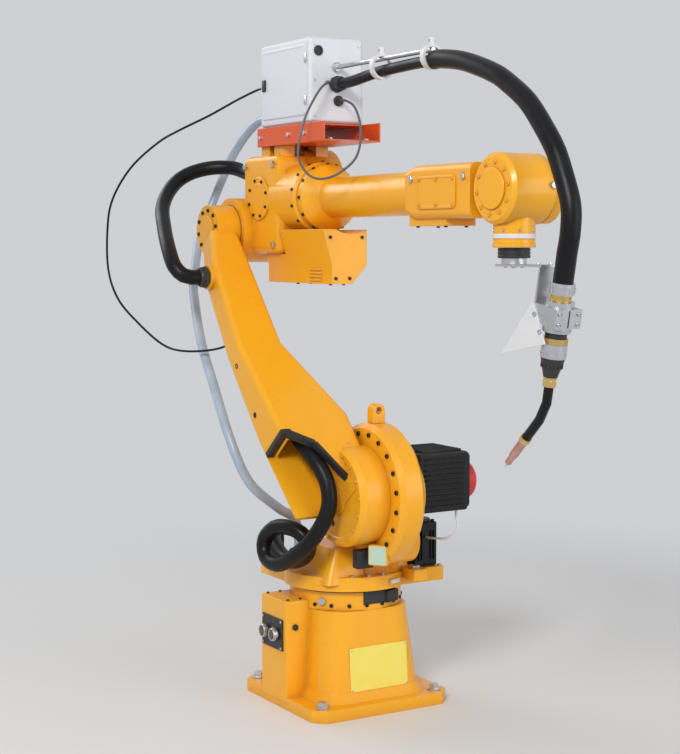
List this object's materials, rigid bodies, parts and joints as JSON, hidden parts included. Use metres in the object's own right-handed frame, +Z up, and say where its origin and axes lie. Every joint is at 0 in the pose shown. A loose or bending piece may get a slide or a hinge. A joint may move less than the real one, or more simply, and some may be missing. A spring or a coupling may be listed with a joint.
{
  "type": "industrial robot arm",
  "caption": "Floor-mounted jointed arc welding robot arm with a wire feeder on its elbow and a swan-neck torch on its wrist.",
  "frame": {"origin": "centre of the square base plate on the floor, which is on the first axis", "axes": "+Z up, +X the way the arm reaches in the stored pose, -Y the side that the lower arm and its hoses are on"},
  "size_m": [1.5806, 0.6655, 1.6643],
  "materials": {
    "casting_paint": "satin orange paint on castings",
    "carrier_paint": "orange-red paint on folded sheet",
    "feeder_paint": "off-white housing",
    "motor_black": "black motor paint",
    "cap_red": "red plastic cap",
    "rubber_black": "black cable jacket",
    "plastic_black": "black plastic",
    "steel": "bright machined steel",
    "brass": "turned brass",
    "white_plate": "white plastic",
    "sheath_plastic": "pale blue plastic wire sheath",
    "lead_grey": "grey lead jacket",
    "nozzle_copper": "heat-stained copper alloy"
  },
  "bodies": {
    "base": {"base_casting": "casting_paint", "slewing_ring": "casting_paint", "rotation_stop": "plastic_black", "connector_panel": "plastic_black"},
    "turret": {"turret_casting": "casting_paint", "lifting_lug": "casting_paint", "shoulder_motor": "motor_black", "shoulder_motor_cap": "cap_red", "shoulder_motor_plug": "plastic_black", "slewing_motor": "motor_black", "turret_hose_gland": "rubber_black", "turret_sheath_gland": "rubber_black", "shoulder_hose": "rubber_black", "sheath_lower": "sheath_plastic", "motor_lead": "white_plate"},
    "lower_arm": {"lower_arm_casting": "casting_paint", "arm_hose_gland": "rubber_black", "elbow_hose": "rubber_black", "sheath_upper": "sheath_plastic", "feeder_lead": "rubber_black"},
    "elbow": {"elbow_casting": "casting_paint", "motor_cover": "casting_paint", "elbow_hose_gland": "rubber_black", "feeder_carrier": "carrier_paint", "wire_feeder": "feeder_paint", "feeder_outlet": "rubber_black", "feeder_socket": "rubber_black", "feeder_loop": "lead_grey", "cable_support": "steel", "rear_ring_clamp": "white_plate", "front_ring_clamp": "white_plate", "front_conduit": "rubber_black", "torch_cable_rear": "rubber_black"},
    "forearm": {"forearm_tube": "casting_paint", "wrist_block": "casting_paint", "torch_cable_middle": "rubber_black"},
    "wrist": {"wrist_housing": "casting_paint", "seal_band": "white_plate", "torch_cable_front": "rubber_black"},
    "tool": {"insulating_ring": "plastic_black", "tool_flange": "steel", "torch_bracket": "steel", "torch_clamp": "steel", "torch_guard": "white_plate", "cable_collar": "steel", "upper_brass_ring": "brass", "torch_body": "steel", "torch_groove": "plastic_black", "lower_brass_ring": "brass", "torch_foot": "steel", "torch_handle": "plastic_black", "neck_nut": "brass", "torch_neck": "rubber_black", "nozzle_seat": "brass", "gas_nozzle": "nozzle_copper", "welding_wire": "steel"}
  },
  "joints": [
    {"name": "turret_turn", "type": "hinge", "parent": "base", "child": "turret", "pos_m": [0, 0, 0.3], "axis": [0, 0, 1], "range_deg": [-165, 165]},
    {"name": "shoulder_swing", "type": "hinge", "parent": "turret", "child": "lower_arm", "pos_m": [0.146, 0, 0.54], "axis": [0, 1, 0], "range_deg": [-20, 95], "deforming": ["shoulder_hose", "sheath_lower"]},
    {"name": "elbow_swing", "type": "hinge", "parent": "lower_arm", "child": "elbow", "pos_m": [-0.41024, 0, 1.18669], "axis": [0, -1, 0], "range_deg": [-34, 150], "deforming": ["elbow_hose", "sheath_upper", "feeder_lead"]},
    {"name": "forearm_roll", "type": "hinge", "parent": "elbow", "child": "forearm", "pos_m": [-0.10024, 0, 1.26669], "axis": [1, 0, 0], "range_deg": [-180, 180], "deforming": ["torch_cable_rear"]},
    {"name": "wrist_bend", "type": "hinge", "parent": "forearm", "child": "wrist", "pos_m": [0.69676, 0, 1.26669], "axis": [0, -1, 0], "range_deg": [-25, 205], "deforming": ["torch_cable_middle"]},
    {"name": "tool_turn", "type": "hinge", "parent": "wrist", "child": "tool", "pos_m": [0.69676, 0, 1.10769], "axis": [0, 0, -1], "range_deg": [-360, 360], "deforming": ["torch_cable_front"]}
  ]
}
